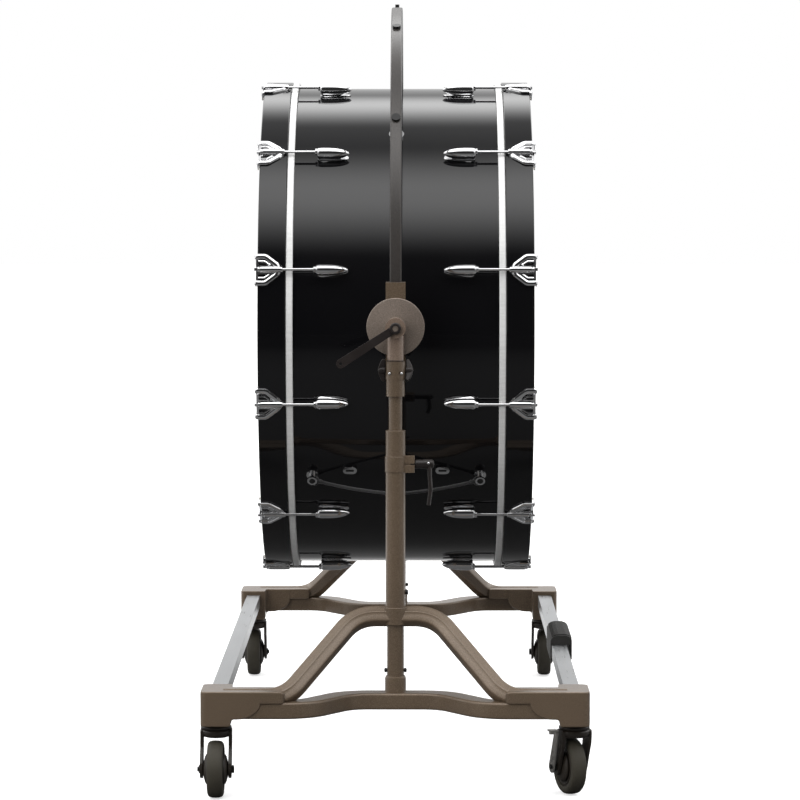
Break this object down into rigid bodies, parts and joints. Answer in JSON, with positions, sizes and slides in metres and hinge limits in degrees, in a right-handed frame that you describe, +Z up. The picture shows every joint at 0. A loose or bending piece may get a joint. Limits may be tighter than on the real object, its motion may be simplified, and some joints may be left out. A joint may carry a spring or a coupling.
{
  "type": "concert bass drum on a tilting stand",
  "caption": "Concert bass drum slung on cords in a tilting ring, carried by two height-adjustable masts on a wheeled base.",
  "frame": {"origin": "on the floor under the middle of the stand", "axes": "+X along the drum's axis, +Y along the tilt axis from the near mast to the far mast, +Z up"},
  "size_m": [0.6916, 1.546, 1.4111],
  "materials": {
    "bronze_paint": "hammered bronze-grey powder coat, semi-gloss",
    "caster_steel": "semi-gloss",
    "black_steel": "satin",
    "dark_handle": "satin",
    "tyre_rubber": "matte",
    "hub_plastic": "satin",
    "bright_steel": "zinc plated",
    "silver_bar": "satin anodised",
    "silver_hoop": "satin",
    "rest_rubber": "ribbed, matte",
    "cord": "braided elastic cord",
    "black_lacquer": "high-gloss black lacquer over maple ply",
    "drum_head": "coated film",
    "chrome": "polished"
  },
  "bodies": {
    "stand": {"near_casting": "bronze_paint", "far_casting": "bronze_paint", "side_bars": "silver_bar", "bar_bolts": "black_steel", "mast_posts": "bronze_paint", "post_sockets": "bronze_paint", "cross_bolts": "black_steel", "outer_tubes": "bronze_paint", "height_clamps": "bronze_paint", "foot_rest": "rest_rubber", "caster_bearings": "caster_steel"},
    "near_left_caster": {"near_left_fork": "caster_steel", "near_left_axle": "bright_steel"},
    "near_left_wheel": {"near_left_tyre": "tyre_rubber", "near_left_hub": "hub_plastic"},
    "near_right_caster": {"near_right_fork": "caster_steel", "near_right_axle": "bright_steel"},
    "near_right_wheel": {"near_right_tyre": "tyre_rubber", "near_right_hub": "hub_plastic"},
    "far_left_caster": {"far_left_fork": "caster_steel", "far_left_axle": "bright_steel"},
    "far_left_wheel": {"far_left_tyre": "tyre_rubber", "far_left_hub": "hub_plastic"},
    "far_right_caster": {"far_right_fork": "caster_steel", "far_right_axle": "bright_steel"},
    "far_right_wheel": {"far_right_tyre": "tyre_rubber", "far_right_hub": "hub_plastic"},
    "brake_pedal": {"near_right_brake": "bright_steel"},
    "near_mast": {"near_inner_tube": "bronze_paint", "near_collar": "bronze_paint", "near_tilt_housing": "bronze_paint"},
    "far_mast": {"far_inner_tube": "bronze_paint", "far_collar": "bronze_paint", "far_tilt_housing": "bronze_paint"},
    "near_left_wing_bolt": {"near_left_wing_bolt": "dark_handle"},
    "near_right_wing_bolt": {"near_right_wing_bolt": "dark_handle"},
    "far_left_wing_bolt": {"far_left_wing_bolt": "dark_handle"},
    "far_right_wing_bolt": {"far_right_wing_bolt": "dark_handle"},
    "near_height_lever": {"near_height_lever": "dark_handle"},
    "far_height_lever": {"far_height_lever": "dark_handle"},
    "tilt_lever": {"tilt_lever": "dark_handle"},
    "drum": {"ring": "bronze_paint", "ring_brackets": "bronze_paint", "near_tilt_disc": "bronze_paint", "far_tilt_disc": "bronze_paint", "ring_bolts": "black_steel", "ring_peg": "black_steel", "suspension_cords": "cord", "shell_hooks": "chrome", "suspension_posts": "chrome", "guide_studs": "chrome", "backing_plates": "black_steel", "shell": "black_lacquer", "heads": "drum_head", "flesh_hoops": "silver_hoop", "counterhoops": "black_lacquer", "claws": "chrome", "tension_rods": "chrome", "lugs": "chrome"}
  },
  "joints": [
    {"name": "near_left_swivel", "type": "hinge", "parent": "stand", "child": "near_left_caster", "pos_m": [-0.3135, -0.703, 0.11], "axis": [0, 0, 1], "continuous": true},
    {"name": "near_left_roll", "type": "hinge", "parent": "near_left_caster", "child": "near_left_wheel", "pos_m": [-0.3135, -0.723, 0.05], "axis": [1, 0, 0], "continuous": true},
    {"name": "near_right_swivel", "type": "hinge", "parent": "stand", "child": "near_right_caster", "pos_m": [0.3135, -0.703, 0.11], "axis": [0, 0, 1], "continuous": true},
    {"name": "near_right_roll", "type": "hinge", "parent": "near_right_caster", "child": "near_right_wheel", "pos_m": [0.30666, -0.68421, 0.05], "axis": [-0.9397, -0.342, 0], "continuous": true},
    {"name": "far_left_swivel", "type": "hinge", "parent": "stand", "child": "far_left_caster", "pos_m": [-0.3135, 0.703, 0.11], "axis": [0, 0, 1], "continuous": true},
    {"name": "far_left_roll", "type": "hinge", "parent": "far_left_caster", "child": "far_left_wheel", "pos_m": [-0.3135, 0.723, 0.05], "axis": [-1, 0, 0], "continuous": true},
    {"name": "far_right_swivel", "type": "hinge", "parent": "stand", "child": "far_right_caster", "pos_m": [0.3135, 0.703, 0.11], "axis": [0, 0, 1], "continuous": true},
    {"name": "far_right_roll", "type": "hinge", "parent": "far_right_caster", "child": "far_right_wheel", "pos_m": [0.3135, 0.723, 0.05], "axis": [-1, 0, 0], "continuous": true},
    {"name": "brake_press", "type": "hinge", "parent": "near_right_caster", "child": "brake_pedal", "pos_m": [0.30666, -0.68421, 0.05], "axis": [-0.9397, -0.342, 0], "range_deg": [-14, 0]},
    {"name": "near_height", "type": "slide", "parent": "stand", "child": "near_mast", "axis": [0, 0, 1], "range_m": [-0.025, 0.15]},
    {"name": "far_height", "type": "slide", "parent": "stand", "child": "far_mast", "axis": [0, 0, 1], "range_m": [-0.025, 0.15]},
    {"name": "near_left_wing_bolt_turn", "type": "hinge", "parent": "near_mast", "child": "near_left_wing_bolt", "pos_m": [-0.025, -0.618, 0.742], "axis": [1, 0, 0], "range_deg": [-90, 90]},
    {"name": "near_right_wing_bolt_turn", "type": "hinge", "parent": "near_mast", "child": "near_right_wing_bolt", "pos_m": [0.025, -0.618, 0.742], "axis": [1, 0, 0], "range_deg": [-90, 90]},
    {"name": "far_left_wing_bolt_turn", "type": "hinge", "parent": "far_mast", "child": "far_left_wing_bolt", "pos_m": [-0.025, 0.618, 0.742], "axis": [1, 0, 0], "range_deg": [-90, 90]},
    {"name": "far_right_wing_bolt_turn", "type": "hinge", "parent": "far_mast", "child": "far_right_wing_bolt", "pos_m": [0.025, 0.618, 0.742], "axis": [1, 0, 0], "range_deg": [-90, 90]},
    {"name": "near_height_clamp", "type": "hinge", "parent": "stand", "child": "near_height_lever", "pos_m": [0.04, -0.618, 0.576], "axis": [-1, 0, 0], "range_deg": [0, 90]},
    {"name": "far_height_clamp", "type": "hinge", "parent": "stand", "child": "far_height_lever", "pos_m": [0.04, 0.618, 0.576], "axis": [1, 0, 0], "range_deg": [0, 90]},
    {"name": "tilt_clamp", "type": "hinge", "parent": "near_mast", "child": "tilt_lever", "pos_m": [0, -0.645, 0.817], "axis": [0, 1, 0], "range_deg": [-40, 40]},
    {"name": "drum_tilt", "type": "hinge", "parent": "near_mast", "child": "drum", "pos_m": [0, -0.618, 0.817], "axis": [0, 1, 0], "continuous": true}
  ],
  "couplings": [
    {"joint": "far_height", "follows": "near_height", "ratio": 1}
  ]
}
